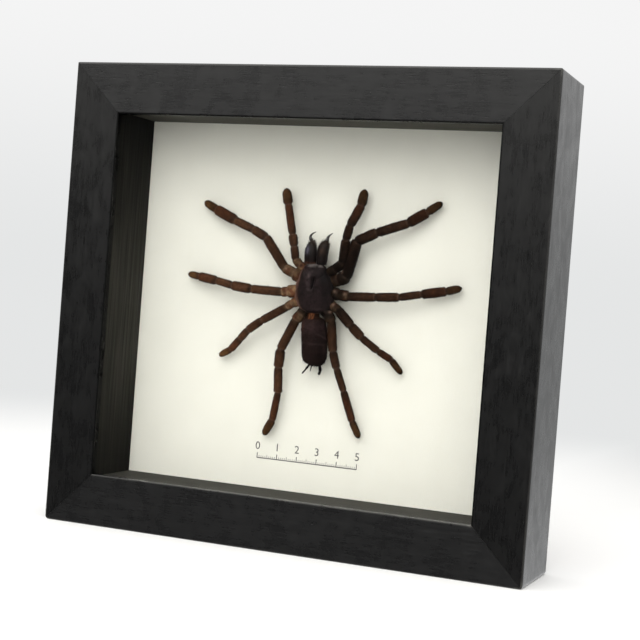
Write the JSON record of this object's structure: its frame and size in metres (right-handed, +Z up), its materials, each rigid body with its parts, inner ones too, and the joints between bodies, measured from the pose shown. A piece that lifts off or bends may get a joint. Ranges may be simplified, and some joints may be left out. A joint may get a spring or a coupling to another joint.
{
  "type": "framed tarantula specimen",
  "caption": "Dried tarantula spread flat on a cream card, sealed behind glass in a deep, square-edged black wooden display frame.",
  "frame": {"origin": "bottom centre of the whole, on the surface that it stands on", "axes": "+X to the viewer's right along the front, +Y from the glass towards the back, +Z up"},
  "size_m": [0.23, 0.045, 0.215],
  "materials": {
    "frame_wood": "black-stained, satin lacquer over open grain",
    "pane": "clear, polished",
    "lining_wood": "black-stained, matte, streaked grain",
    "card": "matte cream board with a faint fibre",
    "hardboard": "plain brown hardboard",
    "tab_steel": "bright steel",
    "brassed_steel": "brass-coloured plating",
    "dark_cuticle": "dried cuticle, satin, with short hair",
    "fang_horn": "glossy black horn",
    "abdomen_skin": "dried skin under short velvety hair",
    "leg_cuticle": "dried cuticle with brown hair",
    "glue": "set hot glue, milky"
  },
  "bodies": {
    "root": {"frame_rail_top": "frame_wood", "frame_rail_bottom": "frame_wood", "frame_rail_left": "frame_wood", "frame_rail_right": "frame_wood", "glass_pane": "pane", "spacer_top": "lining_wood", "spacer_bottom": "lining_wood", "spacer_left": "lining_wood", "spacer_right": "lining_wood", "mount_card": "card", "backing_board": "hardboard", "back_tab_left_lower": "tab_steel", "back_tab_left_upper": "tab_steel", "back_tab_right_lower": "tab_steel", "back_tab_right_upper": "tab_steel", "back_tab_bottom_left": "tab_steel", "back_tab_bottom_right": "tab_steel", "back_tab_top_left": "tab_steel", "back_tab_top_right": "tab_steel", "hanger_plate": "brassed_steel", "hanger_nail_left": "brassed_steel", "hanger_nail_right": "brassed_steel", "cephalothorax": "dark_cuticle", "chelicera_left": "dark_cuticle", "chelicera_right": "dark_cuticle", "fang_left": "fang_horn", "fang_right": "fang_horn", "abdomen": "abdomen_skin", "leg_1_left": "leg_cuticle", "leg_1_right": "leg_cuticle", "leg_2_left": "leg_cuticle", "leg_2_right": "leg_cuticle", "leg_3_left": "leg_cuticle", "leg_3_right": "leg_cuticle", "leg_4_left": "leg_cuticle", "leg_4_right": "leg_cuticle", "palp_left": "leg_cuticle", "palp_right": "leg_cuticle", "glue_pad_front": "glue", "glue_pad_rear": "glue"}
  },
  "joints": []
}
